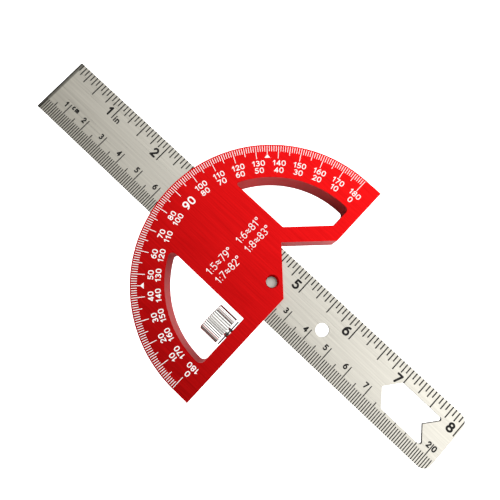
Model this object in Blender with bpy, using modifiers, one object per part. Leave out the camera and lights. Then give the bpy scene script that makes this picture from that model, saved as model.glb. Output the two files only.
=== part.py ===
"""Adjustable set square: a half-round protractor head that slides on a steel rule.

The object lies on its back face. +X runs along the rule from its zero end, +Y runs
towards the inch edge and +Z points up out of the marked face. The origin is under
the middle of the rule, on the surface that the head rests on.
"""
from math import acos, cos, pi, radians, sin, sqrt

import bmesh
import bpy
from mathutils import Vector

MM = 0.001                      # every dimension below is in millimetres

# Rule
RULE_LENGTH = 204.0
RULE_WIDTH = 25.0
RULE_THICKNESS = 1.2
RULE_CORNER = 3.6               # the far end's two rounded corners
RULE_ZERO_TO_PIVOT = 116.8      # where the head stands on the rule
RULE_HOLE_X = 143.0             # from the zero end
RULE_HOLE_DIAMETER = 5.2
WINDOW_APEX_X = 172.8           # arrow-shaped window, from the zero end
WINDOW_SHOULDER_X = 177.7
WINDOW_TOOTH_X = 192.4          # tip of the pointer tooth
WINDOW_END_X = 197.4
WINDOW_HEIGHT = 12.6
WINDOW_CORNER = 0.8

# Head
HEAD_RADIUS = 52.5              # the degree scale's outer edge, centred on the pivot
HEAD_THICKNESS = 12.0
HEAD_EDGE_X = 7.4               # straight reference edge, from the pivot
HEAD_EDGE_CHAMFER = 0.25
WINDOW_RADIUS = 39.7            # both head windows end on this radius
METRIC_WINDOW_Y = 17.0          # window on the millimetre side, from the rule's middle
METRIC_BAR_X = 1.8              # inner face of its bar along the straight edge
METRIC_FILLETS = (1.6, 2.0)     # at the window's far end and beside the bar
INCH_WINDOW_Y = 17.8            # window on the inch side
INCH_BAR_X = 2.6
INCH_FILLETS = (0.8, 1.6)
NOTCH_DEPTH = 14.8              # right-angled centre-finder notch
NOTCH_APEX_Y = 13.1
NOTCH_ARM = 5.8                 # width of the arm between the notch and its window
PIVOT_HOLE_DIAMETER = 4.8
PIVOT_HOLE_CHAMFER = 0.25
SLOT_CLEARANCE = 0.3

# Thumb-screw and its washer
SCREW_Y = -25.0                 # the screw's axis, from the rule's middle
KNOB_DIAMETER = 11.8
KNOB_LENGTH = 8.4
KNOB_TEETH = 40
KNOB_TOOTH_DEPTH = 0.4
KNOB_GAP = 1.9                  # from the bar to the knob's inner face
NECK_DIAMETER = 3.6
THREAD_DIAMETER = 4.4
THREAD_PITCH = 0.8
THREAD_TURNS = 4
SCREW_HOLE_DIAMETER = 5.0
WASHER_DIAMETER = 11.4
WASHER_HOLE_DIAMETER = 4.3
WASHER_THICKNESS = 0.5
WASHER_GAP = 0.4                # from the bar to the washer

ARC_STEP = radians(3)           # angle between the points of a large arc
FILLET_STEPS = 4
PIVOT_X = RULE_ZERO_TO_PIVOT - RULE_LENGTH / 2
MIDDLE_Z = HEAD_THICKNESS / 2


def make_collection(name):
    collection = bpy.data.collections.new(name)
    bpy.context.scene.collection.children.link(collection)
    return collection


def make_material(name, colour, roughness, metallic):
    material = bpy.data.materials.new(name)
    material.use_nodes = True
    shader = material.node_tree.nodes["Principled BSDF"]
    shader.inputs["Base Color"].default_value = (*colour, 1)
    shader.inputs["Roughness"].default_value = roughness
    shader.inputs["Metallic"].default_value = metallic
    return material


def arc(centre, radius, start, end, step=ARC_STEP):
    """Points from the angle start to the angle end, both included."""
    count = max(2, round(abs(end - start) / step))
    return [(centre[0] + radius * cos(start + (end - start) * i / count),
             centre[1] + radius * sin(start + (end - start) * i / count))
            for i in range(count + 1)]


def fillet(before, corner, after, radius):
    """Points of a rounded corner between two straight sides."""
    corner, before, after = Vector(corner), Vector(before), Vector(after)
    into, out = (before - corner).normalized(), (after - corner).normalized()
    half = acos(max(-1.0, min(1.0, into.dot(out)))) / 2
    centre = corner + (into + out).normalized() * radius / sin(half)
    first = corner + into * radius / (sin(half) / cos(half)) - centre
    last = corner + out * radius / (sin(half) / cos(half)) - centre
    points = []
    for i in range(FILLET_STEPS + 1):
        spoke = first.lerp(last, i / FILLET_STEPS).normalized() * radius
        points.append(tuple(centre + spoke))
    return points


def rounded(corners):
    """Outline through (x, y, radius) corners, each rounded where radius isn't 0."""
    points = []
    for i, (x, y, radius) in enumerate(corners):
        before, after = corners[i - 1][:2], corners[(i + 1) % len(corners)][:2]
        points += fillet(before, (x, y), after, radius) if radius else [(x, y)]
    return points


def to_mesh(curve_object, collection):
    """Turn an evaluated curve into one welded mesh object and remove the curve."""
    graph = bpy.context.evaluated_depsgraph_get()
    mesh = bpy.data.meshes.new_from_object(curve_object.evaluated_get(graph))
    solid = bmesh.new()
    solid.from_mesh(mesh)
    bmesh.ops.remove_doubles(solid, verts=solid.verts, dist=1e-6)
    bmesh.ops.recalc_face_normals(solid, faces=solid.faces)
    solid.to_mesh(mesh)
    solid.free()
    name = curve_object.name
    piece = bpy.data.objects.new(name + "_mesh", mesh)
    piece.matrix_world = curve_object.matrix_world
    collection.objects.link(piece)
    bpy.data.objects.remove(curve_object)
    piece.name = name
    return piece


def flat_solid(name, outlines, thickness, collection):
    """Extruded flat piece, with the outlines after the first as openings."""
    curve = bpy.data.curves.new(name, "CURVE")
    curve.dimensions = "2D"
    curve.fill_mode = "BOTH"
    curve.extrude = thickness * MM / 2
    for outline in outlines:
        spline = curve.splines.new("POLY")
        spline.points.add(len(outline) - 1)
        for point, (x, y) in zip(spline.points, outline):
            point.co = (x * MM, y * MM, 0, 1)
        spline.use_cyclic_u = True
    piece = bpy.data.objects.new(name, curve)
    collection.objects.link(piece)
    bpy.context.view_layer.update()
    return to_mesh(piece, collection)


def turned_solid(name, profile, steps, collection, ring=False):
    """Solid of revolution about Z. The (radius, z) profile runs from top to bottom.

    A ring's profile closes on itself, and any other starts and ends on the axis.
    """
    mesh = bpy.data.meshes.new(name)
    points = [(radius * MM, 0, z * MM) for radius, z in profile]
    edges = [(i, i + 1) for i in range(len(points) - 1)]
    if ring:
        edges.append((len(points) - 1, 0))
    mesh.from_pydata(points, edges, [])
    piece = bpy.data.objects.new(name, mesh)
    collection.objects.link(piece)
    turn = piece.modifiers.new("turn", "SCREW")
    turn.steps = steps
    turn.render_steps = steps
    turn.use_merge_vertices = True
    turn.merge_threshold = 1e-6
    turn.use_smooth_shade = True
    return piece


def combine(piece, other, operation):
    boolean = piece.modifiers.new(other.name, "BOOLEAN")
    boolean.operation = operation
    boolean.solver = "EXACT"
    boolean.object = other


def as_cutter(piece):
    piece.hide_render = True
    piece.display_type = "WIRE"
    return piece


def place(piece, x, y, z, along_x=False):
    piece.location = (x * MM, y * MM, z * MM)
    if along_x:
        piece.rotation_euler = (0, -pi / 2, 0)     # local +Z becomes world -X


def finish(piece, material):
    piece.data.materials.clear()
    piece.data.materials.append(material)
    piece.data.shade_smooth()
    piece.data.set_sharp_from_angle(angle=radians(30))


def head_outline():
    """Half disc, straight reference edge and the centre-finder notch."""
    edge, radius = HEAD_EDGE_X, HEAD_RADIUS
    outline = arc((0, 0), radius, pi / 2, 3 * pi / 2)
    outline.append((edge, -radius))
    outline.append((edge, NOTCH_APEX_Y - NOTCH_DEPTH))
    outline.append((edge - NOTCH_DEPTH, NOTCH_APEX_Y))
    outline.append((edge, NOTCH_APEX_Y + NOTCH_DEPTH))
    outline.append((edge, radius))
    return outline


def arc_side(bar_x, long_y, fillets, side):
    """The arc side of a head window with a fillet at each end. side is +1 or -1."""
    far_fillet, near_fillet = fillets
    far_reach, near_reach = WINDOW_RADIUS - far_fillet, WINDOW_RADIUS - near_fillet
    far_y, near_x = long_y + far_fillet, bar_x - near_fillet
    far = (-sqrt(far_reach ** 2 - far_y ** 2), far_y)
    near = (near_x, sqrt(near_reach ** 2 - near_x ** 2))
    far_angle = acos(far[0] / far_reach)
    near_angle = acos(near[0] / near_reach)
    step = pi / (4 * FILLET_STEPS)
    points = arc(far, far_fillet, 3 * pi / 2, far_angle, step)
    points += arc((0, 0), WINDOW_RADIUS, far_angle, near_angle)[1:-1]
    points += arc(near, near_fillet, near_angle, 0, step)
    return [(x, side * y) for x, y in points]


def metric_window():
    """The window that holds the thumb-screw, with one square corner."""
    corner = (METRIC_BAR_X, -METRIC_WINDOW_Y)
    return [corner] + arc_side(METRIC_BAR_X, METRIC_WINDOW_Y, METRIC_FILLETS, -1)


def inch_window():
    """The window behind the notch, with one side along the notch's arm."""
    arm_offset = NOTCH_ARM * sqrt(2)
    apex = HEAD_EDGE_X - NOTCH_DEPTH - arm_offset
    foot = (apex + INCH_WINDOW_Y - NOTCH_APEX_Y, INCH_WINDOW_Y)
    top = (INCH_BAR_X, NOTCH_APEX_Y + INCH_BAR_X - apex)
    return [top, foot] + arc_side(INCH_BAR_X, INCH_WINDOW_Y, INCH_FILLETS, 1)


def hole_cutter(name, diameter, length, chamfer, collection):
    """Straight hole with a chamfered mouth at both ends of its length."""
    radius, half, over = diameter / 2, length / 2, 0.5
    mouth = radius + chamfer
    profile = [(0, half + over), (mouth, half + over), (mouth, half),
               (radius, half - chamfer), (radius, chamfer - half),
               (mouth, -half), (mouth, -half - over), (0, -half - over)]
    return as_cutter(turned_solid(name, profile, 32, collection))


def make_head(parts, cutters):
    head = flat_solid("protractor_body", [head_outline(), metric_window(), inch_window()],
                      HEAD_THICKNESS, parts)
    place(head, PIVOT_X, 0, MIDDLE_Z)
    rim = head.modifiers.new("rim", "BEVEL")
    rim.width = HEAD_EDGE_CHAMFER * MM
    rim.segments = 1
    rim.limit_method = "ANGLE"
    rim.angle_limit = radians(40)

    bpy.ops.mesh.primitive_cube_add(size=1)
    slot = as_cutter(bpy.context.object)
    slot.name = "rule_slot"
    slot.dimensions = (2.5 * HEAD_RADIUS * MM, (RULE_WIDTH + 2 * SLOT_CLEARANCE) * MM,
                       (RULE_THICKNESS + 2 * SLOT_CLEARANCE) * MM)
    place(slot, PIVOT_X, 0, MIDDLE_Z)
    for collection in list(slot.users_collection):
        collection.objects.unlink(slot)
    cutters.objects.link(slot)
    combine(head, slot, "DIFFERENCE")

    pivot = hole_cutter("pivot_hole", PIVOT_HOLE_DIAMETER, HEAD_THICKNESS,
                        PIVOT_HOLE_CHAMFER, cutters)
    place(pivot, PIVOT_X, 0, MIDDLE_Z)
    combine(head, pivot, "DIFFERENCE")

    bar = HEAD_EDGE_X - METRIC_BAR_X
    screw_hole = hole_cutter("screw_hole", SCREW_HOLE_DIAMETER, bar, PIVOT_HOLE_CHAMFER, cutters)
    place(screw_hole, PIVOT_X + METRIC_BAR_X + bar / 2, SCREW_Y, MIDDLE_Z, along_x=True)
    combine(head, screw_hole, "DIFFERENCE")
    finish(head, make_material("red_anodised_aluminium", (0.68, 0.008, 0.012), 0.36, 0.75))
    return head


def rule_window():
    """Arrow-shaped window whose right side carries the pointer tooth."""
    half = WINDOW_HEIGHT / 2
    return rounded([(WINDOW_APEX_X, 0, WINDOW_CORNER),
                    (WINDOW_SHOULDER_X, -half, WINDOW_CORNER),
                    (WINDOW_END_X, -half, WINDOW_CORNER),
                    (WINDOW_TOOTH_X, 0, 0),
                    (WINDOW_END_X, half, WINDOW_CORNER),
                    (WINDOW_SHOULDER_X, half, WINDOW_CORNER)])


def make_rule(parts):
    half = RULE_WIDTH / 2
    outline = rounded([(0, half, 0), (0, -half, 0),
                       (RULE_LENGTH, -half, RULE_CORNER), (RULE_LENGTH, half, RULE_CORNER)])
    hole = arc((RULE_HOLE_X, 0), RULE_HOLE_DIAMETER / 2, 0, 2 * pi, radians(12))[:-1]
    shifted = [[(x - RULE_LENGTH / 2, y) for x, y in loop]
               for loop in (outline, hole, rule_window())]
    rule = flat_solid("steel_rule", shifted, RULE_THICKNESS, parts)
    place(rule, 0, 0, MIDDLE_Z)
    finish(rule, make_material("brushed_stainless_steel", (0.62, 0.60, 0.56), 0.34, 1.0))
    return rule


def knob_outline():
    """Straight knurling: one crest and one root for each tooth."""
    crest = KNOB_DIAMETER / 2
    points = []
    for i in range(2 * KNOB_TEETH):
        radius = crest if i % 2 == 0 else crest - KNOB_TOOTH_DEPTH
        points.append((radius * cos(pi * i / KNOB_TEETH), radius * sin(pi * i / KNOB_TEETH)))
    return points


def make_thumb_screw(parts, cutters):
    """Knurled knob, undercut neck and short thread, turned from one bar of steel.

    Local z = 0 is the knob's inner face, and local +z points out through the knob.
    """
    screw = flat_solid("thumb_screw", [knob_outline()], KNOB_LENGTH, parts)
    for vertex in screw.data.vertices:
        vertex.co.z += KNOB_LENGTH * MM / 2
    crest, margin = KNOB_DIAMETER / 2, 0.3
    envelope = turned_solid("knob_envelope", [
        (0, KNOB_LENGTH - margin), (crest * 0.55, KNOB_LENGTH - margin * 1.2),
        (crest * 0.82, KNOB_LENGTH - margin * 2), (crest + 0.2, KNOB_LENGTH - margin * 4.4),
        (crest + 0.2, 0.3), (crest - 0.6, 0), (0, 0)], 64, cutters)
    combine(screw, as_cutter(envelope), "INTERSECT")

    neck, thread = NECK_DIAMETER / 2, THREAD_DIAMETER / 2
    profile = [(0, 1.0), (neck, 1.0), (neck, -KNOB_GAP)]
    z = -KNOB_GAP
    for _ in range(THREAD_TURNS):
        profile += [(thread, z - THREAD_PITCH * 0.4), (thread, z - THREAD_PITCH * 0.6),
                    (neck, z - THREAD_PITCH)]
        z -= THREAD_PITCH
    profile += [(neck - 0.5, z - 0.4), (0, z - 0.4)]
    shank = turned_solid("screw_shank", profile, 24, cutters)
    combine(screw, as_cutter(shank), "UNION")
    for piece in (screw, envelope, shank):
        place(piece, PIVOT_X + METRIC_BAR_X - KNOB_GAP, SCREW_Y, MIDDLE_Z, along_x=True)
    finish(screw, make_material("polished_steel", (0.80, 0.79, 0.77), 0.18, 1.0))
    return screw


def make_washer(parts):
    outer, inner = WASHER_DIAMETER / 2, WASHER_HOLE_DIAMETER / 2
    half = WASHER_THICKNESS / 2
    washer = turned_solid("screw_washer", [(inner, half), (outer, half), (outer, -half),
                                           (inner, -half)], 48, parts, ring=True)
    place(washer, PIVOT_X + METRIC_BAR_X - WASHER_GAP - half, SCREW_Y, MIDDLE_Z, along_x=True)
    finish(washer, make_material("black_washer", (0.015, 0.015, 0.016), 0.45, 0.0))
    return washer


for old in list(bpy.data.objects):
    bpy.data.objects.remove(old)
parts_collection = make_collection("set_square")
cutters_collection = make_collection("cutters")
make_head(parts_collection, cutters_collection)
make_rule(parts_collection)
make_thumb_screw(parts_collection, cutters_collection)
make_washer(parts_collection)
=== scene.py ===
from math import acos, copysign, cos, pi, radians, sin, sqrt

import bmesh
import bpy
from mathutils import Euler, Matrix, Vector


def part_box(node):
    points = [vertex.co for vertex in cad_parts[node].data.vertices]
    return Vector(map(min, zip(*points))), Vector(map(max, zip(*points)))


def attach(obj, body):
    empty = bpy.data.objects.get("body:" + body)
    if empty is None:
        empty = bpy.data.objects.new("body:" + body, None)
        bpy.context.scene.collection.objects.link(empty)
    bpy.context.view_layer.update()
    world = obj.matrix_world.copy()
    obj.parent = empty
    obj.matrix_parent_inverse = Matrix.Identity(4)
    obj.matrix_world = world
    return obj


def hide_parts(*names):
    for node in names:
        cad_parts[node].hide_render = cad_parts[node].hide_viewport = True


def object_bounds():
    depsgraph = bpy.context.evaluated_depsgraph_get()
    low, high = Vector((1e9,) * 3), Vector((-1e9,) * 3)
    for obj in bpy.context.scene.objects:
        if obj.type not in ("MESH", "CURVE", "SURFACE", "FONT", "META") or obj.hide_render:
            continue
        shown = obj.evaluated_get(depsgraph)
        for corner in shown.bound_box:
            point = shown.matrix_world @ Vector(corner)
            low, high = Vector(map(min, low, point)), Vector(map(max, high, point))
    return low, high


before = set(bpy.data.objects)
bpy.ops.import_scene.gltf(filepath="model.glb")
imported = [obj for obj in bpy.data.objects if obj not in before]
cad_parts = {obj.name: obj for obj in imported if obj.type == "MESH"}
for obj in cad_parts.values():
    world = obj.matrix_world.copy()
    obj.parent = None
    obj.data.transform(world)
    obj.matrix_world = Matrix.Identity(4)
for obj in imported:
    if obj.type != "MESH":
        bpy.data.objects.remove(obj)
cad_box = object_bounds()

# Table, lights and camera.
# The set square lies on a pale table, under a soft white dome and one studio panel. The camera
# looks almost straight down on the marked face, turned so that the rule runs corner to corner.
mm = 0.001
table_size = 3.0
scene = bpy.context.scene
scene.view_settings.view_transform = "Standard"


def node(tree, kind, inputs=None, **settings):
    """Add a node, with its settings, and give its inputs a value or a link."""
    made = tree.nodes.new(kind)
    for name, value in settings.items():
        setattr(made, name, value)
    for name, value in (inputs or {}).items():
        if isinstance(value, bpy.types.NodeSocket):
            tree.links.new(value, made.inputs[name])
        else:
            made.inputs[name].default_value = value
    return made


def new_finish(name, **sockets):
    """Material with one Principled shader. Base_Color in a call means the socket Base Color."""
    material = bpy.data.materials.new(name)
    material.use_nodes = True
    tree = material.node_tree
    tree.nodes.clear()
    shader = node(tree, "ShaderNodeBsdfPrincipled")
    node(tree, "ShaderNodeOutputMaterial", {"Surface": shader.outputs[0]})
    for socket, value in sockets.items():
        shader.inputs[socket.replace("_", " ")].default_value = value
    return material, tree, shader


def flat_table(name, height):
    """Square table top that belongs to the stage."""
    mesh = bpy.data.meshes.new(name)
    form = bmesh.new()
    bmesh.ops.create_grid(form, x_segments=1, y_segments=1, size=table_size / 2)
    bmesh.ops.translate(form, verts=form.verts, vec=(0, 0, height))
    form.to_mesh(mesh)
    form.free()
    top = bpy.data.objects.new(name, mesh)
    scene.collection.objects.link(top)
    return top


# The table is what the metal reflects. The white sheet just under it is only what the
# camera sees behind the set square.
table_height = cad_box[0].z - 0.2 * mm
table = flat_table("table_top", table_height)
table.visible_camera = False
paper = new_finish("pale_table", Base_Color=(0.86, 0.86, 0.86, 1), Roughness=0.9)[0]
table.data.materials.append(paper)
sheet = flat_table("white_sheet", table_height - 0.1 * mm)
sheet.visible_diffuse = False
sheet.visible_glossy = False
sheet.visible_shadow = False
glow = new_finish("white_sheet", Base_Color=(0.9, 0.9, 0.9, 1), Roughness=0.9,
                  Emission_Color=(1, 1, 1, 1), Emission_Strength=1.0)[0]
sheet.data.materials.append(glow)

# The room is a soft white dome: brightest towards +Y, brighter again far out towards +X,
# and dimmer and a little warmer far out towards -X.
dome_middle = 0.90
dome_rise = 2.2
dome = bpy.data.worlds.new("studio")
dome.use_nodes = True
dome_tree = dome.node_tree
looking = node(dome_tree, "ShaderNodeTexCoord")
along = node(dome_tree, "ShaderNodeSeparateXYZ", {0: looking.outputs["Generated"]}).outputs
bright_end = node(dome_tree, "ShaderNodeMapRange", {
    "Value": along["X"], "From Min": 0.12, "From Max": 0.56, "To Min": 0.0, "To Max": 0.85},
    interpolation_type="SMOOTHSTEP")
dim_end = node(dome_tree, "ShaderNodeMapRange", {
    "Value": along["X"], "From Min": -0.70, "From Max": -0.28, "To Min": -0.55, "To Max": 0.0},
    interpolation_type="SMOOTHSTEP")
across = node(dome_tree, "ShaderNodeMath", {0: along["Y"], 1: dome_rise, 2: dome_middle},
              operation="MULTIPLY_ADD")
ends = node(dome_tree, "ShaderNodeMath", {0: bright_end.outputs[0], 1: dim_end.outputs[0]},
            operation="ADD")
level = node(dome_tree, "ShaderNodeMath", {0: across.outputs[0], 1: ends.outputs[0]},
             operation="ADD")
softened = node(dome_tree, "ShaderNodeClamp", {"Value": level.outputs[0], "Min": 0.12,
                                               "Max": 2.1})
warmth = node(dome_tree, "ShaderNodeValToRGB", {"Fac": softened.outputs[0]})
warmth.color_ramp.elements[0].position = 0.4
warmth.color_ramp.elements[0].color = (1.0, 0.965, 0.89, 1)
warmth.color_ramp.elements[1].color = (1, 1, 1, 1)
dome_tree.links.new(warmth.outputs["Color"], dome_tree.nodes["Background"].inputs["Color"])
dome_tree.links.new(softened.outputs[0], dome_tree.nodes["Background"].inputs["Strength"])
scene.world = dome

panel = bpy.data.lights.new("side_panel", "AREA")
panel.size = 0.4
panel.energy = 1.2
lamp = bpy.data.objects.new("side_panel", panel)
lamp.location = (0.55, 0.50, 0.22)
lamp.rotation_euler = (-lamp.location).to_track_quat("-Z", "Y").to_euler()
scene.collection.objects.link(lamp)

lens = bpy.data.cameras.new("camera")
lens.sensor_width = 36
lens.lens = 30.96
lens.clip_start = 0.01
camera = bpy.data.objects.new("camera", lens)
camera.location = (14.59 * mm, -10.94 * mm, 170.78 * mm)
camera.rotation_euler = Euler((radians(7.028), radians(0.161), radians(43.242)))
scene.collection.objects.link(camera)
scene.camera = camera

# Protractor head.
# One half-round plate of aluminium, brushed along the rule and anodised red. The outline and
# both windows are milled with almost sharp edges, the rule's slot runs through the middle of
# the thickness, and the pivot hole and the thumb-screw's hole are drilled and tapped.
head_low, head_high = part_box("protractor_body")
rule_low, rule_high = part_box("steel_rule")
head_radius = (head_high.y - head_low.y) / 2
pivot = Vector((head_low.x + head_radius, 0, 0))
head_edge = head_high.x - pivot.x
mark_height = 0.02 * mm                 # filling stands this far above the metal
head_face = head_high.z - mark_height
head_chamfer = 0.45 * mm
window_radius = 39.7 * mm
metric_window_y = 17.0 * mm
metric_bar_x = 1.8 * mm
inch_window_y = 17.8 * mm
inch_bar_x = 2.6 * mm
notch_depth = 14.8 * mm
notch_apex_y = 13.1 * mm
notch_arm = 5.8 * mm
pivot_hole_radius = 2.45 * mm
pivot_mouth = 0.15 * mm
screw_hole_radius = 2.5 * mm
screw_mouth = 0.25 * mm
slot_clearance = 0.3 * mm
slot_reach = 100 * mm                   # the slot's cutter runs out past both sides
screw_low, screw_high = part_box("thumb_screw")
screw_axis = (screw_low + screw_high) / 2


def arc_points(centre, radius, start, end, step=radians(1)):
    count = max(3, round(abs(end - start) / step))
    return [(centre[0] + radius * cos(start + (end - start) * i / count),
             centre[1] + radius * sin(start + (end - start) * i / count))
            for i in range(count + 1)]


def window_arc(bar_x, long_y, far_fillet, near_fillet, side):
    """Arc side of a head window, with a fillet at each end. side is +1 or -1."""
    far_reach, near_reach = window_radius - far_fillet, window_radius - near_fillet
    far_y, near_x = long_y + far_fillet, bar_x - near_fillet
    far = (-sqrt(far_reach ** 2 - far_y ** 2), far_y)
    near = (near_x, sqrt(near_reach ** 2 - near_x ** 2))
    far_angle, near_angle = acos(far[0] / far_reach), acos(near[0] / near_reach)
    fine = radians(9)
    points = arc_points(far, far_fillet, 3 * pi / 2, far_angle, fine)
    points += arc_points((0, 0), window_radius, far_angle, near_angle)[1:-1]
    points += arc_points(near, near_fillet, near_angle, 0, fine)
    return [(x, side * y) for x, y in points]


def flat_plate(name, outlines, low, high, place=Vector((0, 0, 0))):
    """Plate between two heights, with the outlines after the first as openings."""
    curve = bpy.data.curves.new(name, "CURVE")
    curve.dimensions = "2D"
    curve.fill_mode = "BOTH"
    curve.extrude = (high - low) / 2
    for outline in outlines:
        spline = curve.splines.new("POLY")
        spline.points.add(len(outline) - 1)
        for point, (x, y) in zip(spline.points, outline):
            point.co = (x, y, 0, 1)
        spline.use_cyclic_u = True
    blank = bpy.data.objects.new(name, curve)
    scene.collection.objects.link(blank)
    plate = settled(blank)
    plate.data.transform(Matrix.Translation(place + Vector((0, 0, (low + high) / 2))))
    return plate


def settled(piece):
    """Replace an object by a plain, welded mesh of what its curve or modifiers make."""
    graph = bpy.context.evaluated_depsgraph_get()
    mesh = bpy.data.meshes.new_from_object(piece.evaluated_get(graph))
    name = piece.name
    bpy.data.objects.remove(piece)
    form = bmesh.new()
    form.from_mesh(mesh)
    bmesh.ops.remove_doubles(form, verts=form.verts, dist=1e-7)
    bmesh.ops.recalc_face_normals(form, faces=form.faces)
    form.to_mesh(mesh)
    form.free()
    mesh.name = name
    plain = bpy.data.objects.new(name, mesh)
    scene.collection.objects.link(plain)
    return plain


def round_bar(name, profile, place, steps=64, along_x=False):
    """Turned piece. Its (radius, height) profile runs from top to bottom."""
    mesh = bpy.data.meshes.new(name)
    edges = [(i, i + 1) for i in range(len(profile) - 1)]
    if profile[0][0] > 0:
        edges.append((len(profile) - 1, 0))
    mesh.from_pydata([(radius, 0, height) for radius, height in profile], edges, [])
    bar = bpy.data.objects.new(name, mesh)
    scene.collection.objects.link(bar)
    turn = bar.modifiers.new("turn", "SCREW")
    turn.steps = steps
    turn.render_steps = steps
    turn.use_merge_vertices = True
    turn.merge_threshold = 1e-6
    bar = settled(bar)
    if along_x:
        bar.data.transform(Matrix.Rotation(-pi / 2, 4, "Y"))     # local up becomes -X
    bar.data.transform(Matrix.Translation(place))
    return bar


def chamfer_edges(piece, width):
    """Round every sharp edge in two facets, up to a width. The modifier keeps the facets from
    overlapping, and on an outline of short segments that leaves under 0.01 mm of it."""
    rim = piece.modifiers.new("rim", "BEVEL")
    rim.width = width
    rim.segments = 2
    rim.limit_method = "ANGLE"
    rim.angle_limit = radians(40)
    return settled(piece)


def cut_away(piece, *cutters, operation="DIFFERENCE"):
    for cutter in cutters:
        cut = piece.modifiers.new(cutter.name, "BOOLEAN")
        cut.operation = operation
        cut.solver = "EXACT"
        cut.object = cutter
    piece = settled(piece)
    for cutter in cutters:
        bpy.data.objects.remove(cutter)
    return piece


def smooth_faces(piece, angle=30):
    piece.data.shade_smooth()
    piece.data.set_sharp_from_angle(angle=radians(angle))
    even = piece.modifiers.new("even", "WEIGHTED_NORMAL")
    even.keep_sharp = True
    graph = bpy.context.evaluated_depsgraph_get()
    mesh = bpy.data.meshes.new_from_object(piece.evaluated_get(graph))
    piece.modifiers.clear()
    piece.data = mesh


def hole_bar(radius, low, high, mouth):
    """Cutter for a straight hole from low to high, chamfered where it leaves the metal."""
    over = 0.4 * mm
    return [(0, high + over), (radius + mouth + over, high + over), (radius, high - mouth),
            (radius, low + mouth), (radius + mouth + over, low - over), (0, low - over)]


half_disc = arc_points((0, 0), head_radius, pi / 2, 3 * pi / 2)
head_outline = half_disc + [
    (head_edge, -head_radius),
    (head_edge, notch_apex_y - notch_depth),
    (head_edge - notch_depth, notch_apex_y),
    (head_edge, notch_apex_y + notch_depth),
    (head_edge, head_radius)]
metric_window = [(metric_bar_x, -metric_window_y)] + window_arc(
    metric_bar_x, metric_window_y, 1.6 * mm, 2.0 * mm, -1)
arm_apex = head_edge - notch_depth - notch_arm * sqrt(2)
inch_window = [
    (inch_bar_x, notch_apex_y + inch_bar_x - arm_apex),
    (arm_apex + inch_window_y - notch_apex_y, inch_window_y),
] + window_arc(inch_bar_x, inch_window_y, 0.8 * mm, 1.6 * mm, 1)

head = flat_plate("head_plate", [head_outline, metric_window, inch_window],
                  head_low.z, head_face, pivot)
head = chamfer_edges(head, head_chamfer)
slot_half = rule_high.y + slot_clearance
slot_outline = [(-slot_reach, -slot_half), (slot_reach, -slot_half),
                (slot_reach, slot_half), (-slot_reach, slot_half)]
rule_slot = flat_plate("rule_slot", [slot_outline],
                       rule_low.z - slot_clearance, rule_high.z + slot_clearance)
pivot_drill = round_bar("pivot_drill", hole_bar(pivot_hole_radius, head_low.z, head_face,
                                                pivot_mouth), pivot)
bar_middle = pivot.x + (metric_bar_x + head_edge) / 2
bar_half = (head_edge - metric_bar_x) / 2
screw_drill = round_bar("screw_drill", hole_bar(screw_hole_radius, -bar_half, bar_half,
                                                screw_mouth),
                        Vector((bar_middle, screw_axis.y, screw_axis.z)), along_x=True)
head = cut_away(head, rule_slot, pivot_drill, screw_drill)
head.name = "head_plate"
smooth_faces(head)


def brushed_metal(name, dark, light, along, across, rough, bump):
    """Metal brushed along X: long fine streaks in its colour, gloss and surface."""
    material, tree, shader = new_finish(name, Metallic=1.0)
    place = node(tree, "ShaderNodeTexCoord")
    stretched = node(tree, "ShaderNodeMapping", {"Vector": place.outputs["Object"],
                                                 "Scale": (along, across, across)})
    streaks = node(tree, "ShaderNodeTexNoise", {"Vector": stretched.outputs[0], "Scale": 1.0,
                                                "Detail": 5.0, "Roughness": 0.65})
    tone = node(tree, "ShaderNodeValToRGB", {"Fac": streaks.outputs["Fac"]})
    tone.color_ramp.elements[0].position = 0.30
    tone.color_ramp.elements[0].color = (*dark, 1)
    tone.color_ramp.elements[1].position = 0.70
    tone.color_ramp.elements[1].color = (*light, 1)
    gloss = node(tree, "ShaderNodeMapRange", {"Value": streaks.outputs["Fac"],
                                              "From Min": 0.3, "From Max": 0.7,
                                              "To Min": rough[0], "To Max": rough[1]})
    relief = node(tree, "ShaderNodeBump", {"Height": streaks.outputs["Fac"],
                                           "Strength": bump, "Distance": 0.00002})
    tree.links.new(tone.outputs["Color"], shader.inputs["Base Color"])
    tree.links.new(gloss.outputs["Result"], shader.inputs["Roughness"])
    tree.links.new(relief.outputs["Normal"], shader.inputs["Normal"])
    return material


anodised = brushed_metal("red_anodised_aluminium", dark=(0.55, 0.0043, 0.0052),
                         light=(0.73, 0.0073, 0.0083), along=45, across=1500,
                         rough=(0.30, 0.42), bump=0.2)
head.data.materials.append(anodised)
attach(head, "head")
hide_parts("protractor_body")

# Tapped threads of the head.
# The pivot hole and the hole through the bar are tapped. Each thread is one helical ridge
# of the plate's own metal, which the rule's slot interrupts in the pivot hole.
thread_pitch = 0.8 * mm


def grow(name, tree, sizes, material):
    """Plain mesh object of what a Geometry Nodes tree makes with the given sizes."""
    seed = bpy.data.objects.new(name, bpy.data.meshes.new(name))
    scene.collection.objects.link(seed)
    modifier = seed.modifiers.new("grow", "NODES")
    modifier.node_group = tree
    named = {item.name: item.identifier for item in tree.interface.items_tree
             if item.in_out == "INPUT"}
    for size, value in sizes.items():
        modifier[named[size]] = value
    modifier[named["Finish"]] = material
    graph = bpy.context.evaluated_depsgraph_get()
    mesh = bpy.data.meshes.new_from_object(seed.evaluated_get(graph))
    bpy.data.objects.remove(seed)
    mesh.name = name
    piece = bpy.data.objects.new(name, mesh)
    scene.collection.objects.link(piece)
    return piece


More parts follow.
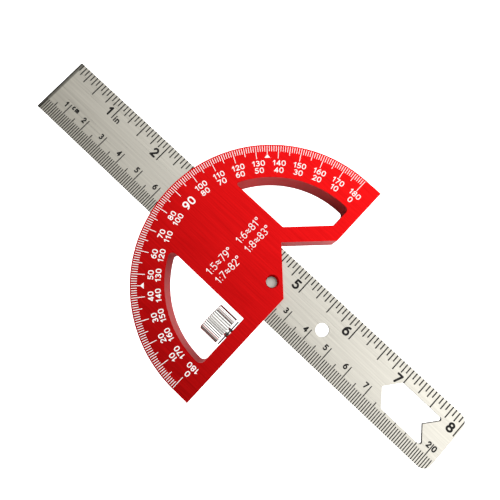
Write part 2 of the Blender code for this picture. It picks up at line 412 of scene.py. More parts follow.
def start_tree(name, sizes):
    """Empty Geometry Nodes tree with one named input for each size, and for the finish."""
    tree = bpy.data.node_groups.new(name, "GeometryNodeTree")
    for size, kind in sizes.items():
        tree.interface.new_socket(size, in_out="INPUT", socket_type="NodeSocket" + kind)
    tree.interface.new_socket("Finish", in_out="INPUT", socket_type="NodeSocketMaterial")
    tree.interface.new_socket("Geometry", in_out="OUTPUT", socket_type="NodeSocketGeometry")
    return tree, node(tree, "NodeGroupInput").outputs


def end_tree(tree, given, geometry):
    real = node(tree, "GeometryNodeRealizeInstances", {"Geometry": geometry})
    coated = node(tree, "GeometryNodeSetMaterial", {"Geometry": real.outputs[0],
                                                    "Material": given["Finish"]})
    node(tree, "NodeGroupOutput", {"Geometry": coated.outputs[0]})
    return tree


def sum_of(tree, operation, *values):
    """Output of one Math node."""
    made = node(tree, "ShaderNodeMath", operation=operation)
    for socket, value in zip(made.inputs, values):
        if isinstance(value, bpy.types.NodeSocket):
            tree.links.new(value, socket)
        else:
            socket.default_value = value
    return made.outputs[0]


def thread_tree():
    """Helical ridge about Z, of a flat diamond section."""
    tree, given = start_tree("helical_ridge", {"Radius": "Float", "Pitch": "Float",
                                               "Turns": "Float", "Ridge": "Float"})
    rise = sum_of(tree, "MULTIPLY", given["Pitch"], given["Turns"])
    helix = node(tree, "GeometryNodeCurveSpiral", {
        "Resolution": 40, "Rotations": given["Turns"], "Start Radius": given["Radius"],
        "End Radius": given["Radius"], "Height": rise})
    upright = node(tree, "GeometryNodeSetCurveNormal", {"Curve": helix.outputs[0]})
    upright.mode = "Z_UP"
    section = node(tree, "GeometryNodeCurvePrimitiveCircle", {"Resolution": 4,
                                                              "Radius": given["Ridge"]})
    ridge = node(tree, "GeometryNodeCurveToMesh", {"Curve": upright.outputs[0],
                                                   "Profile Curve": section.outputs[0],
                                                   "Fill Caps": True})
    return end_tree(tree, given, ridge.outputs[0])


helical_ridge = thread_tree()


def threaded(name, radius, turns, ridge, place, material, along_x=False):
    """Thread that starts at a place and climbs towards +Z, or towards -X."""
    thread = grow(name, helical_ridge, {"Radius": radius, "Pitch": thread_pitch,
                                        "Turns": turns, "Ridge": ridge}, material)
    if along_x:
        thread.data.transform(Matrix.Rotation(-pi / 2, 4, "Y"))
    thread.data.transform(Matrix.Translation(place))
    return thread


pivot_ridge = 0.30 * mm
bar_ridge = 0.20 * mm
plain_turns = 1.3                       # left out of each thread, so that it ends inside
front_turns = (head_face - rule_high.z - slot_clearance) / thread_pitch - plain_turns
front_start = rule_high.z + slot_clearance + 0.4 * mm
pivot_thread = threaded("pivot_thread_front", pivot_hole_radius, front_turns, pivot_ridge,
                        pivot + Vector((0, 0, front_start)), anodised)
back_turns = (rule_low.z - slot_clearance - head_low.z) / thread_pitch - plain_turns
back_thread = threaded("pivot_thread_back", pivot_hole_radius, back_turns, pivot_ridge,
                       pivot + Vector((0, 0, head_low.z + 0.6 * mm)), anodised)
bar_turns = 2 * bar_half / thread_pitch - plain_turns
bar_thread = threaded("bar_thread", screw_hole_radius, bar_turns, bar_ridge,
                      Vector((pivot.x + head_edge - 0.5 * mm, screw_axis.y, screw_axis.z)),
                      anodised, along_x=True)
for thread in (pivot_thread, back_thread, bar_thread):
    thread.data.shade_flat()
    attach(thread, "head")

# Degree scale.
# Engraved lines filled with white enamel, from the rim inwards: one for each degree, longer
# at every fifth and longest at every tenth. Small triangles mark 45 and 135 degrees.
degree_line_width = 0.24 * mm
scale_start = head_radius - head_chamfer
triangle_half_width = 1.15 * mm
triangle_height = 1.35 * mm
triangle_radius = 47.3 * mm


def enamel(name, dark, light, roughness):
    """Paint that fills the engraving, a little uneven in tone and gloss."""
    material, tree, shader = new_finish(name)
    place = node(tree, "ShaderNodeTexCoord")
    blotches = node(tree, "ShaderNodeTexNoise", {"Vector": place.outputs["Object"],
                                                 "Scale": 900.0, "Detail": 3.0})
    tone = node(tree, "ShaderNodeValToRGB", {"Fac": blotches.outputs["Fac"]})
    tone.color_ramp.elements[0].position = 0.35
    tone.color_ramp.elements[0].color = (*dark, 1)
    tone.color_ramp.elements[1].position = 0.65
    tone.color_ramp.elements[1].color = (*light, 1)
    gloss = node(tree, "ShaderNodeMapRange", {"Value": blotches.outputs["Fac"],
                                              "To Min": roughness - 0.08,
                                              "To Max": roughness + 0.08})
    relief = node(tree, "ShaderNodeBump", {"Height": blotches.outputs["Fac"],
                                           "Strength": 0.15, "Distance": 0.00002})
    tree.links.new(tone.outputs["Color"], shader.inputs["Base Color"])
    tree.links.new(gloss.outputs["Result"], shader.inputs["Roughness"])
    tree.links.new(relief.outputs["Normal"], shader.inputs["Normal"])
    return material


def stepped_length(tree, number, given, steps):
    """Length of the line with this number: the last step that divides it wins."""
    length = given[steps[0][0]]
    for size, every in steps[1:]:
        left = sum_of(tree, "MODULO", number, every)
        fits = sum_of(tree, "LESS_THAN", left, 0.5)
        choice = node(tree, "GeometryNodeSwitch", {"Switch": fits, "False": length,
                                                   "True": given[size]}, input_type="FLOAT")
        length = choice.outputs[0]
    return length


def line_at(tree, points, given, length, turn):
    """Put one thin bar on each point. It starts there and grows towards local -X."""
    bar = node(tree, "GeometryNodeMeshCube", {"Size": (1, 1, 1)})
    moved = node(tree, "GeometryNodeTransform", {"Geometry": bar.outputs[0],
                                                 "Translation": (-0.5, 0, 0.5)})
    size = node(tree, "ShaderNodeCombineXYZ", {"X": length, "Y": given["Width"],
                                               "Z": given["Height"]})
    turned = node(tree, "ShaderNodeCombineXYZ", {"Z": turn})
    return node(tree, "GeometryNodeInstanceOnPoints", {
        "Points": points, "Instance": moved.outputs[0], "Scale": size.outputs[0],
        "Rotation": turned.outputs[0]}).outputs[0]


def round_scale_tree():
    """Lines around the origin, one for each degree from 0 to the last."""
    tree, given = start_tree("degree_lines", {"Last": "Int", "Radius": "Float", "Width": "Float",
                                              "Height": "Float", "Each": "Float",
                                              "Fifth": "Float", "Tenth": "Float"})
    number = node(tree, "GeometryNodeInputIndex").outputs[0]
    count = sum_of(tree, "ADD", given["Last"], 1)
    seeds = node(tree, "GeometryNodeMeshLine", {"Count": count, "Offset": (0, 0, 0)})
    turn = sum_of(tree, "SUBTRACT", -pi / 2, sum_of(tree, "MULTIPLY", number, radians(1)))
    spot = node(tree, "ShaderNodeCombineXYZ", {
        "X": sum_of(tree, "MULTIPLY", given["Radius"], sum_of(tree, "COSINE", turn)),
        "Y": sum_of(tree, "MULTIPLY", given["Radius"], sum_of(tree, "SINE", turn))})
    placed = node(tree, "GeometryNodeSetPosition", {"Geometry": seeds.outputs[0],
                                                    "Position": spot.outputs[0]})
    length = stepped_length(tree, number, given, [("Each", 1), ("Fifth", 5), ("Tenth", 10)])
    return end_tree(tree, given, line_at(tree, placed.outputs[0], given, length, turn))


white_filling = enamel("white_filling", (0.90, 0.90, 0.89), (0.98, 0.98, 0.97), 0.5)
degree_lines = grow("degree_lines", round_scale_tree(), {
    "Last": 180, "Radius": scale_start, "Width": degree_line_width, "Height": mark_height,
    "Each": 2.2 * mm, "Fifth": 3.45 * mm, "Tenth": 5.0 * mm}, white_filling)
degree_lines.data.transform(Matrix.Translation(pivot + Vector((0, 0, head_face))))

triangle_outline = [(-triangle_half_width, 0), (triangle_half_width, 0), (0, triangle_height)]
triangles = []
for degree in (45, 135):
    triangle = flat_plate("triangle_%d" % degree, [triangle_outline], 0, mark_height)
    triangle.data.transform(Matrix.Translation((0, triangle_radius, 0)))
    triangle.data.transform(Matrix.Rotation(pi - radians(degree), 4, "Z"))
    triangle.data.transform(Matrix.Translation(pivot + Vector((0, 0, head_face))))
    triangle.data.materials.append(white_filling)
    triangles.append(triangle)
for mark in [degree_lines] + triangles:
    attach(mark, "head")

# Numerals and the table of dovetail slopes on the head.
# A round-ended tool engraves each numeral as a few strokes, and white enamel fills them. Two
# rows of figures follow the scale, one counting each way, with one large 90 between them.
outer_feet = 44.3 * mm                  # radius that the feet of a row stand on
inner_feet = 41.5 * mm
ninety_feet = 41.7 * mm
figure_height, figure_width, figure_stroke = 2.15 * mm, 1.62 * mm, 0.35 * mm
ninety_height, ninety_width, ninety_stroke = 3.4 * mm, 2.3 * mm, 0.58 * mm
slope_height, slope_width, slope_stroke = 3.0 * mm, 1.7 * mm, 0.28 * mm


def bend(x, y, wide, high, start, end, count=9):
    """Points of part of an ellipse, angles in degrees."""
    turns = [radians(start + (end - start) * i / count) for i in range(count + 1)]
    return [(x + wide * cos(turn), y + high * sin(turn)) for turn in turns]


def ring(x, y, wide, high, squareness=1.0):
    """Closed loop, an ellipse with its sides drawn out when squareness is under 1."""
    points = bend(x, y, 1, 1, 90, 450, 20)
    return [(x + wide * copysign(abs(px - x) ** squareness, px - x),
             y + high * copysign(abs(py - y) ** squareness, py - y)) for px, py in points]


# Each letter is its share of the full width and its strokes, drawn in a unit square.
figure_six = [ring(0.5, 0.31, 0.5, 0.31),
              [(0.0, 0.33), (0.03, 0.52), (0.13, 0.70), (0.34, 0.87), (0.60, 0.97), (0.80, 1.0)]]
strokes = {
    "0": (1.0, [ring(0.5, 0.5, 0.5, 0.5, 0.8)]),
    "1": (0.62, [[(0.05, 0.76), (0.72, 1.0)], [(0.72, 1.0), (0.72, 0.0)]]),
    "2": (0.94, [bend(0.48, 0.71, 0.46, 0.29, 165, -25) + [(0.0, 0.0)], [(0.0, 0.0), (1.0, 0.0)]]),
    "3": (0.94, [bend(0.42, 0.76, 0.44, 0.24, 140, -90), bend(0.42, 0.26, 0.54, 0.26, 90, -140)]),
    "4": (1.04, [[(0.74, 0.0), (0.74, 1.0)], [(0.74, 1.0), (0.0, 0.26)],
                 [(0.0, 0.26), (1.0, 0.26)]]),
    "5": (0.94, [[(0.88, 1.0), (0.12, 1.0)], [(0.12, 1.0), (0.10, 0.56)],
                 [(0.10, 0.56)] + bend(0.42, 0.30, 0.54, 0.31, 100, -140)]),
    "6": (0.98, figure_six),
    "7": (0.94, [[(0.0, 1.0), (1.0, 1.0)], [(1.0, 1.0), (0.32, 0.0)]]),
    "8": (0.98, [ring(0.5, 0.76, 0.43, 0.24), ring(0.5, 0.26, 0.5, 0.26)]),
    "9": (0.98, [[(1 - x, 1 - y) for x, y in stroke] for stroke in figure_six]),
    ":": (0.20, [[(0.5, 0.06), (0.5, 0.10)], [(0.5, 0.56), (0.5, 0.60)]]),
    "~": (1.20, [[(0.05 + 0.9 * i / 10, level + 0.10 * sin(2 * pi * i / 10)) for i in range(11)]
                 for level in (0.28, 0.60)]),
    "o": (0.60, [ring(0.5, 0.85, 0.5, 0.155)]),
    "c": (0.78, [bend(0.5, 0.33, 0.5, 0.33, 50, 310)]),
    "m": (1.25, [[(0.0, 0.0), (0.0, 0.66)],
                 [(0.0, 0.0)] + bend(0.25, 0.44, 0.25, 0.22, 180, 0) + [(0.5, 0.0)],
                 [(0.5, 0.0)] + bend(0.75, 0.44, 0.25, 0.22, 180, 0) + [(1.0, 0.0)]]),
    "i": (0.02, [[(0.5, 0.0), (0.5, 0.66)], [(0.5, 0.94), (0.5, 0.97)]]),
    "n": (0.76, [[(0.0, 0.0), (0.0, 0.66)],
                 [(0.0, 0.0)] + bend(0.5, 0.38, 0.5, 0.28, 180, 0) + [(1.0, 0.0)]]),
}


def lettering_tree():
    """Stroke curves made into flat bars with round ends. Text comes in as a curve object."""
    tree, given = start_tree("engraved_strokes", {"Lines": "Object", "Stroke": "Float",
                                                  "Height": "Float"})
    lines = node(tree, "GeometryNodeObjectInfo", {"Object": given["Lines"]}).outputs["Geometry"]
    section = node(tree, "GeometryNodeCurvePrimitiveQuadrilateral", {
        "Width": given["Stroke"], "Height": given["Height"]})
    upright = node(tree, "GeometryNodeSetCurveNormal", {"Curve": lines})
    upright.mode = "Z_UP"
    bars = node(tree, "GeometryNodeCurveToMesh", {"Curve": upright.outputs[0],
                                                  "Profile Curve": section.outputs[0],
                                                  "Fill Caps": True})
    ends = node(tree, "GeometryNodeCurveEndpointSelection")
    dot = node(tree, "GeometryNodeMeshCylinder", {
        "Vertices": 14, "Radius": sum_of(tree, "MULTIPLY", given["Stroke"], 0.5),
        "Depth": given["Height"]})
    dots = node(tree, "GeometryNodeInstanceOnPoints", {"Points": lines,
                                                       "Selection": ends.outputs[0],
                                                       "Instance": dot.outputs[0]})
    loose = node(tree, "GeometryNodeRealizeInstances", {"Geometry": dots.outputs[0]})
    union = node(tree, "GeometryNodeMeshBoolean", {"Self Intersection": True},
                 operation="UNION", solver="EXACT")
    tree.links.new(bars.outputs[0], union.inputs["Mesh 2"])
    tree.links.new(loose.outputs[0], union.inputs["Mesh 2"])
    return end_tree(tree, given, union.outputs[0])


engraved_strokes = lettering_tree()


def word_strokes(word, height, width, stroke):
    """Strokes of a word, centred on x, with its feet at y = 0 and its round ends inside."""
    gap = stroke + 0.13 * height
    pen = 0.0
    made = []
    for letter in word:
        share, lines = strokes[letter]
        wide = share * (width - stroke)
        for line in lines:
            made.append([(pen + stroke / 2 + x * wide, stroke / 2 + y * (height - stroke))
                         for x, y in line])
        pen += wide + gap
    length = pen - gap + stroke
    return [[(x - length / 2, y) for x, y in line] for line in made]


def engrave(name, words, stroke, material):
    """One piece of lettering from (word, height, width, place) entries. Each place is a matrix."""
    curve = bpy.data.curves.new(name, "CURVE")
    curve.dimensions = "3D"
    for word, height, width, place in words:
        for line in word_strokes(word, height, width, stroke):
            spline = curve.splines.new("POLY")
            spline.points.add(len(line) - 1)
            for point, (x, y) in zip(spline.points, line):
                point.co = (*(place @ Vector((x, y, 0))), 1)
    drawing = bpy.data.objects.new(name + "_lines", curve)
    scene.collection.objects.link(drawing)
    bpy.context.view_layer.update()
    lettering = grow(name, engraved_strokes, {"Lines": drawing, "Stroke": stroke,
                                              "Height": mark_height}, material)
    bpy.data.objects.remove(drawing)
    lettering.data.shade_flat()
    return lettering


# The lettering stands a little to one side of the lines it belongs to.
lettering_shift = Vector((0.4 * mm, 0.3 * mm, head_face + mark_height / 2))


def on_scale(degree, radius):
    """Place for a word whose feet stand at this radius, its top towards the rim."""
    upward = Vector((-sin(radians(degree)), -cos(radians(degree)), 0))
    forward = Vector((upward.y, -upward.x, 0))
    spot = pivot + upward * radius + lettering_shift
    return Matrix(((forward.x, upward.x, 0, spot.x), (forward.y, upward.y, 0, spot.y),
                   (0, 0, 1, spot.z), (0, 0, 0, 1)))


rows = []
for degree in range(0, 181, 10):
    if degree != 90:
        rows.append((str(degree), figure_height, figure_width, on_scale(degree, outer_feet)))
        rows.append((str(180 - degree), figure_height, figure_width, on_scale(degree, inner_feet)))
scale_figures = engrave("scale_figures", rows, figure_stroke, white_filling)
ninety = ("90", ninety_height, ninety_width, on_scale(90, ninety_feet))
large_ninety = engrave("large_ninety", [ninety], ninety_stroke, white_filling)

slopes = [("1:5~79o", -21.4, -8.1), ("1:6~81o", -21.4, 7.7),
          ("1:7~82o", -16.7, -8.1), ("1:8~83o", -16.7, 7.7)]
entries = []
for slope, top, middle in slopes:
    corner = Vector((top * mm + slope_height, middle * mm, 0))
    place = Matrix.Translation(pivot + corner + lettering_shift)
    entries.append((slope, slope_height, slope_width, place @ Matrix.Rotation(pi / 2, 4, "Z")))
slope_table = engrave("slope_table", entries, slope_stroke, white_filling)
for lettering in (scale_figures, large_ninety, slope_table):
    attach(lettering, "head")

# Steel rule.
# A strip of stainless steel, ground and brushed along its length, with almost sharp edges.
# The round hole takes the thumb-screw, and the window carries a pointer tooth.
rule_half = rule_high.y
rule_corner = 3.6 * mm
zero_end_corner = 0.3 * mm
# Width of the painted dark reflection along the zero end, standing in for its rounded edge
# reflecting dark.
painted_end_width = 1.7 * mm
rule_chamfer = 0.35 * mm
rule_hole_x = rule_low.x + 143.0 * mm
rule_hole_radius = 2.6 * mm
window_apex_x = rule_low.x + 172.8 * mm
window_shoulder_x = rule_low.x + 177.7 * mm
window_tooth_x = rule_low.x + 192.4 * mm
window_end_x = rule_low.x + 197.4 * mm
window_half = 6.3 * mm
window_corner = 0.8 * mm


def rounded_outline(corners):
    """Outline through (x, y, radius) corners, each rounded where its radius isn't 0."""
    points = []
    for i, (x, y, radius) in enumerate(corners):
        if not radius:
            points.append((x, y))
            continue
        corner = Vector((x, y))
        into = (Vector(corners[i - 1][:2]) - corner).normalized()
        out = (Vector(corners[(i + 1) % len(corners)][:2]) - corner).normalized()
        half = acos(max(-1.0, min(1.0, into.dot(out)))) / 2
        centre = corner + (into + out).normalized() * radius / sin(half)
        reach = radius * cos(half) / sin(half)
        first, last = corner + into * reach - centre, corner + out * reach - centre
        points += [tuple(centre + first.lerp(last, step / 8).normalized() * radius)
                   for step in range(9)]
    return points


rule_outline = rounded_outline([
    (rule_low.x, rule_half, zero_end_corner), (rule_low.x, -rule_half, zero_end_corner),
    (rule_high.x, -rule_half, rule_corner), (rule_high.x, rule_half, rule_corner)])
rule_hole = arc_points((rule_hole_x, 0), rule_hole_radius, 0, 2 * pi, radians(5))[:-1]
rule_window = rounded_outline([
    (window_apex_x, 0, window_corner),
    (window_shoulder_x, -window_half, window_corner),
    (window_end_x, -window_half, window_corner),
    (window_tooth_x, 0, 0),
    (window_end_x, window_half, window_corner),
    (window_shoulder_x, window_half, window_corner)])
rule_face = rule_high.z - mark_height
rule = flat_plate("rule_blank", [rule_outline, rule_hole, rule_window], rule_low.z, rule_face)
rule = chamfer_edges(rule, rule_chamfer)
rule.name = "rule_blank"
smooth_faces(rule)


def dark_rims(material):
    """Painted dark reflection at the zero end; painted shade on punched walls and metric-side
    rims.
    """
    tree = material.node_tree
    shader = tree.nodes["Principled BSDF"]
    bright = shader.inputs["Base Color"].links[0].from_socket
    place = node(tree, "ShaderNodeTexCoord")
    spot = node(tree, "ShaderNodeSeparateXYZ", {"Vector": place.outputs["Object"]})
    # Painted dark reflection: a dark stripe along the zero end, darkest at the very end.
    from_end = node(tree, "ShaderNodeMapRange", {
        "Value": spot.outputs["X"], "From Min": rule_low.x, "From Max": rule_low.x + painted_end_width})
    painted_end_reflection = node(tree, "ShaderNodeValToRGB", {"Fac": from_end.outputs["Result"]})
    stops = painted_end_reflection.color_ramp.elements
    stops[0].color = (0.05, 0.05, 0.05, 1)
    for position, level in ((0.22, 0.07), (0.34, 0.26), (0.78, 0.42)):
        stops.new(position).color = (level, level, 0.97 * level, 1)
    # Painted shade: walls and steep facets of the strip are darkened in colour.
    facing = node(tree, "ShaderNodeSeparateXYZ", {"Vector": place.outputs["Normal"]})
    flatness = node(tree, "ShaderNodeMath", {0: facing.outputs["Z"]}, operation="ABSOLUTE")
    painted_wall_shade = node(tree, "ShaderNodeMapRange", {"Value": flatness.outputs[0], "From Min": 0.3,
                                             "From Max": 0.7, "To Min": 0.15, "To Max": 1.0})
    # Painted shade: facets that face the metric side (-Y) are darkened.
    painted_side_shade = node(tree, "ShaderNodeMapRange", {
        "Value": facing.outputs["Y"], "From Min": -0.3, "From Max": -0.12,
        "To Min": 0.12, "To Max": 1.0})
    # rim is the painted shade of the walls and the metric-side facets together.
    rim = node(tree, "ShaderNodeMath", {0: painted_wall_shade.outputs["Result"],
                                        1: painted_side_shade.outputs["Result"]},
               operation="MULTIPLY")
    # shade multiplies the painted end reflection and the painted shade of walls and rims.
    shade = node(tree, "ShaderNodeMix", {0: 1.0, 6: painted_end_reflection.outputs["Color"],
                                         7: rim.outputs[0]},
                 data_type="RGBA", blend_type="MULTIPLY")
    toned = node(tree, "ShaderNodeMix", {0: 1.0, 6: bright, 7: shade.outputs[2]},
                 data_type="RGBA", blend_type="MULTIPLY")
    tree.links.new(toned.outputs[2], shader.inputs["Base Color"])


steel = brushed_metal("brushed_stainless_steel", dark=(0.52, 0.50, 0.445),
                      light=(0.66, 0.637, 0.565), along=30, across=1900, rough=(0.26, 0.38),
                      bump=0.15)
# The steel's colour gets the painted dark reflection at the zero end and painted shade on walls
# and rims.
dark_rims(steel)
rule.data.materials.append(steel)
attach(rule, "rule")
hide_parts("steel_rule")

# Divisions of the rule.
# Millimetres stand on one edge and sixteenths of an inch on the other. They are etched and
# filled black, and end where the window and the rounded corners cut the strip away.
inch = 25.4 * mm
metric_feet = 7.4 * mm                  # from the strip's edge to the feet of its figures
inch_feet = 8.4 * mm
metric_lead = 1.8 * mm                  # how far a figure's middle stands before its line
inch_lead = 2.6 * mm
metric_height, metric_width, metric_stroke = 2.5 * mm, 1.7 * mm, 0.56 * mm
inch_height, inch_width, inch_stroke = 4.0 * mm, 2.9 * mm, 0.84 * mm
unit_stroke = 0.54 * mm


def straight_scale_tree(name, steps):
    """Lines along X, evenly spaced from the first one on, growing towards local -Y."""
    sizes = {"Lines": "Int", "Spacing": "Float", "Width": "Float", "Height": "Float",
             "Turn": "Float"}
    sizes.update({size: "Float" for size, _ in steps})
    tree, given = start_tree(name, sizes)
    number = sum_of(tree, "ADD", node(tree, "GeometryNodeInputIndex").outputs[0], 1)
    step = node(tree, "ShaderNodeCombineXYZ", {"X": given["Spacing"]}).outputs[0]
    seeds = node(tree, "GeometryNodeMeshLine", {"Count": given["Lines"], "Start Location": step,
                                                "Offset": step})
    length = stepped_length(tree, number, given, steps)
    return end_tree(tree, given, line_at(tree, seeds.outputs[0], given, length, given["Turn"]))


def trimmed_to_rule(lines):
    """Cut lines off where the strip's flat face ends: at its rims, its hole and its window."""
    face = bmesh.new()
    face.from_mesh(rule.data)
    sloping = [facet for facet in face.faces if facet.normal.z < 0.99]
    bmesh.ops.delete(face, geom=sloping, context="FACES")
    mesh = bpy.data.meshes.new("flat_face")
    face.to_mesh(mesh)
    face.free()
    block = bpy.data.objects.new("flat_face", mesh)
    scene.collection.objects.link(block)
    thick = block.modifiers.new("thick", "SOLIDIFY")
    thick.thickness = 2 * mm
    thick.offset = 0
    return cut_away(lines, settled(block), operation="INTERSECT")


black_filling = enamel("black_filling", (0.004, 0.004, 0.004), (0.012, 0.011, 0.010), 0.5)
black_filling.node_tree.nodes["Principled BSDF"].inputs["Specular IOR Level"].default_value = 0.2
metric_steps = [("Millimetre", 1), ("Five", 5), ("Ten", 10)]
metric_lines = grow("millimetre_lines", straight_scale_tree("millimetre_lines", metric_steps), {
    "Lines": 203, "Spacing": 1 * mm, "Width": 0.39 * mm, "Height": mark_height, "Turn": -pi / 2,
    "Millimetre": 5.1 * mm, "Five": 6.6 * mm, "Ten": 9.9 * mm}, black_filling)
metric_lines.data.transform(Matrix.Translation((rule_low.x, -rule_half, rule_face)))
inch_steps = [("Sixteenth", 1), ("Eighth", 2), ("Quarter", 4), ("Half", 8), ("Inch", 16)]
inch_lines = grow("inch_lines", straight_scale_tree("inch_lines", inch_steps), {
    "Lines": 128, "Spacing": inch / 16, "Width": 0.47 * mm, "Height": mark_height, "Turn": pi / 2,
    "Sixteenth": 2.95 * mm, "Eighth": 4.0 * mm, "Quarter": 5.25 * mm, "Half": 6.6 * mm,
    "Inch": 8.25 * mm}, black_filling)
inch_lines.data.transform(Matrix.Translation((rule_low.x, rule_half, rule_face)))
for lines in (metric_lines, inch_lines):
    lines = trimmed_to_rule(lines)
    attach(lines, "rule")


def on_rule(x, y):
    """Place for a word at a distance from the zero end."""
    return Matrix.Translation((rule_low.x + x, y, rule_face + mark_height / 2))


units = [("cm", 2.3 * mm, 1.5 * mm, on_rule(12.6 * mm, -rule_half + 8.5 * mm)),
         ("in", 2.7 * mm, 2.0 * mm, on_rule(27.7 * mm, rule_half - 8.6 * mm))]
centimetres = []
for number in range(1, 18):
    centimetres.append((str(number % 10 or 10), metric_height, metric_width,
                        on_rule(number * 10 * mm - metric_lead, -rule_half + metric_feet)))
for digit, spot in (("2", 198.7 * mm), ("0", 201.2 * mm)):
    centimetres.append((digit, metric_height, metric_width,
                        on_rule(spot, -rule_half + metric_feet)))
inches = []
for number in range(1, 9):
    inches.append((str(number), inch_height, inch_width,
                   on_rule(number * inch - inch_lead, rule_half - inch_feet)))
metric_figures = engrave("centimetre_figures", centimetres, metric_stroke, black_filling)
inch_figures = engrave("inch_figures", inches, inch_stroke, black_filling)
unit_letters = engrave("unit_letters", units, unit_stroke, black_filling)
for figures in (metric_figures, inch_figures, unit_letters):
    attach(figures, "rule")

# Thumb-screw.
# Turned from one bar of steel: a straight-knurled knob with a rounded end, an undercut neck
# and a short thread. It is polished, and screws into the bar beside the straight edge.
knob_crest = (screw_high.y - screw_low.y) / 2
knob_teeth = 40
tooth_depth = 0.36 * mm
knob_length = 8.4 * mm
neck_radius = 1.85 * mm
neck_seat = 0.6 * mm                    # how far the neck runs into the knob
tip_chamfer = 0.4 * mm
screw_ridge = 0.30 * mm
knob_foot = Vector((screw_low.x + knob_length, screw_axis.y, screw_axis.z))


def knurled_tree():
    """Bar with straight teeth along Z, its ends rounded as on a lathe."""
    tree, given = start_tree("knurled_knob", {
        "Teeth": "Int", "Crest": "Float", "Tooth Depth": "Float", "Length": "Float",
        "End Round": "Float", "Foot Round": "Float", "Rings": "Int"})
    sides = 8
    around = sum_of(tree, "MULTIPLY", given["Teeth"], sides)
    section = node(tree, "GeometryNodeCurvePrimitiveCircle", {"Resolution": around,
                                                              "Radius": given["Crest"]})
    axis = node(tree, "GeometryNodeCurvePrimitiveLine", {
        "Start": (0, 0, 0),
        "End": node(tree, "ShaderNodeCombineXYZ", {"Z": given["Length"]}).outputs[0]})
    rings = node(tree, "GeometryNodeResampleCurve", {"Curve": axis.outputs[0],
                                                     "Count": given["Rings"]})
    bar = node(tree, "GeometryNodeCurveToMesh", {"Curve": rings.outputs[0],
                                                 "Profile Curve": section.outputs[0],
                                                 "Fill Caps": True})
    at = node(tree, "ShaderNodeSeparateXYZ", {
        "Vector": node(tree, "GeometryNodeInputPosition").outputs[0]})
    turn = sum_of(tree, "ARCTAN2", at.outputs["Y"], at.outputs["X"])
    phase = sum_of(tree, "FRACT", sum_of(tree, "DIVIDE", sum_of(tree, "MULTIPLY", turn,
                                                                given["Teeth"]), 2 * pi))
    from_crest = sum_of(tree, "ABSOLUTE", sum_of(tree, "SUBTRACT", phase, 0.5))
    groove = sum_of(tree, "MINIMUM", 1.0, sum_of(tree, "MAXIMUM", 0.0, sum_of(
        tree, "MULTIPLY", sum_of(tree, "SUBTRACT", from_crest, 0.18), 4.5)))
    toothed = sum_of(tree, "SUBTRACT", given["Crest"],
                     sum_of(tree, "MULTIPLY", groove, given["Tooth Depth"]))

    def rounding(height_from_end, reach):
        """How far the lathe's round takes the radius in, near an end."""
        share = sum_of(tree, "DIVIDE", sum_of(tree, "SUBTRACT", reach, height_from_end), reach)
        inside = sum_of(tree, "MAXIMUM", 0.0, share)
        root = sum_of(tree, "SQRT", sum_of(tree, "SUBTRACT", 1.0001,
                                           sum_of(tree, "MULTIPLY", inside, inside)))
        return sum_of(tree, "MULTIPLY", reach, sum_of(tree, "SUBTRACT", 1.0, root))

    from_end = sum_of(tree, "SUBTRACT", given["Length"], at.outputs["Z"])
    drop = sum_of(tree, "MAXIMUM", rounding(from_end, given["End Round"]),
                  rounding(at.outputs["Z"], given["Foot Round"]))
    radius = sum_of(tree, "MINIMUM", toothed, sum_of(tree, "SUBTRACT", given["Crest"], drop))
    spot = node(tree, "ShaderNodeCombineXYZ", {
        "X": sum_of(tree, "MULTIPLY", radius, sum_of(tree, "COSINE", turn)),
        "Y": sum_of(tree, "MULTIPLY", radius, sum_of(tree, "SINE", turn)),
        "Z": at.outputs["Z"]})
    left = sum_of(tree, "SUBTRACT", sum_of(tree, "SUBTRACT", given["Crest"], drop), radius)
    depth = sum_of(tree, "DIVIDE", left, given["Tooth Depth"])
    # Depth into a groove, which the knurled steel reads to paint shade into the grooves.
    marked = node(tree, "GeometryNodeStoreNamedAttribute", {
        "Geometry": bar.outputs[0], "Name": "groove", "Value": depth})
    shaped = node(tree, "GeometryNodeSetPosition", {"Geometry": marked.outputs[0],
                                                    "Position": spot.outputs[0]})
    return end_tree(tree, given, shaped.outputs[0])


def polished_steel(name, grooved=False):
    """Polished bar steel with the lathe's fine rings. Grooved steel gets painted shade in its
    grooves.
    """
    material, tree, shader = new_finish(name, Metallic=1.0)
    place = node(tree, "ShaderNodeTexCoord")
    rings = node(tree, "ShaderNodeMapping", {"Vector": place.outputs["Object"],
                                             "Scale": (3000, 150, 150)})
    turning = node(tree, "ShaderNodeTexNoise", {"Vector": rings.outputs[0], "Scale": 1.0,
                                                "Detail": 3.0})
    tone = node(tree, "ShaderNodeValToRGB", {"Fac": turning.outputs["Fac"]})
    tone.color_ramp.elements[0].color = (0.74, 0.73, 0.71, 1)
    tone.color_ramp.elements[1].color = (0.92, 0.91, 0.89, 1)
    gloss = node(tree, "ShaderNodeMapRange", {"Value": turning.outputs["Fac"],
                                              "To Min": 0.06, "To Max": 0.20})
    relief = node(tree, "ShaderNodeBump", {"Height": turning.outputs["Fac"],
                                           "Strength": 0.02, "Distance": 0.00001})
    colour = tone.outputs["Color"]
    if grooved:
        # Painted shade: the colour darkens with the depth of each knurl groove.
        groove = node(tree, "ShaderNodeAttribute", attribute_name="groove")
        shade = node(tree, "ShaderNodeMapRange", {"Value": groove.outputs["Fac"],
                                                  "From Min": 0.65, "From Max": 1.0,
                                                  "To Min": 1.0, "To Max": 0.5})
        shaded = node(tree, "ShaderNodeMix", {0: 1.0, 6: colour, 7: shade.outputs["Result"]},
                      data_type="RGBA", blend_type="MULTIPLY")
        colour = shaded.outputs[2]
    tree.links.new(colour, shader.inputs["Base Color"])
    tree.links.new(gloss.outputs["Result"], shader.inputs["Roughness"])
    tree.links.new(relief.outputs["Normal"], shader.inputs["Normal"])
    return material


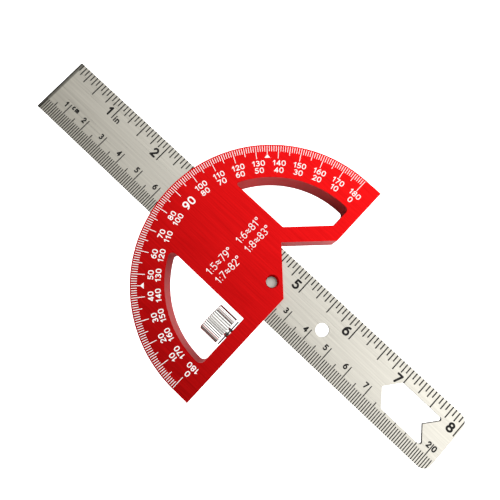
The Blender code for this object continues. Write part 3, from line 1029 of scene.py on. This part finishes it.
bright_steel = polished_steel("polished_steel")
knurled_steel = polished_steel("knurled_steel", grooved=True)
knob = grow("knurled_knob", knurled_tree(), {
    "Teeth": knob_teeth, "Crest": knob_crest, "Tooth Depth": tooth_depth, "Length": knob_length,
    "End Round": 0.6 * mm, "Foot Round": 0.12 * mm, "Rings": 56}, knurled_steel)
knob.data.transform(Matrix.Rotation(-pi / 2, 4, "Y"))
knob.data.transform(Matrix.Translation(knob_foot))
smooth_faces(knob, 40)

shank_end = screw_high.x - knob_foot.x
thread_length = 3.2 * mm
shank = round_bar("screw_shank", [
    (0, neck_seat), (neck_radius, neck_seat), (neck_radius, -(shank_end - tip_chamfer)),
    (neck_radius - tip_chamfer, -shank_end), (0, -shank_end)], knob_foot, along_x=True)
shank.data.materials.append(bright_steel)
smooth_faces(shank)
screw_turns = thread_length / thread_pitch - 0.4
screw_thread = threaded("screw_thread", neck_radius, screw_turns, screw_ridge,
                        Vector((screw_high.x - 0.5 * mm, screw_axis.y, screw_axis.z)),
                        bright_steel, along_x=True)
screw_thread.data.shade_flat()
for piece in (knob, shank, screw_thread):
    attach(piece, "screw")
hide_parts("thumb_screw")

# Washer.
# A thin black washer, punched from sheet, that hangs loose on the neck between the knob and
# the bar. Its rims are slightly rounded by the punch.
washer_low, washer_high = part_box("screw_washer")
washer_outer = (washer_high.y - washer_low.y) / 2
washer_inner = 2.15 * mm
washer_half = (washer_high.x - washer_low.x) / 2
punch_round = 0.12 * mm
washer = round_bar("loose_washer", [
    (washer_inner, washer_half - punch_round), (washer_inner + punch_round, washer_half),
    (washer_outer - punch_round, washer_half), (washer_outer, washer_half - punch_round),
    (washer_outer, punch_round - washer_half), (washer_outer - punch_round, -washer_half),
    (washer_inner + punch_round, -washer_half), (washer_inner, punch_round - washer_half)],
    (washer_low + washer_high) / 2, steps=72, along_x=True)
black_coat = enamel("black_washer", (0.012, 0.012, 0.013), (0.03, 0.03, 0.032), 0.5)
washer.data.materials.append(black_coat)
smooth_faces(washer, 50)
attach(washer, "washer")
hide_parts("screw_washer")
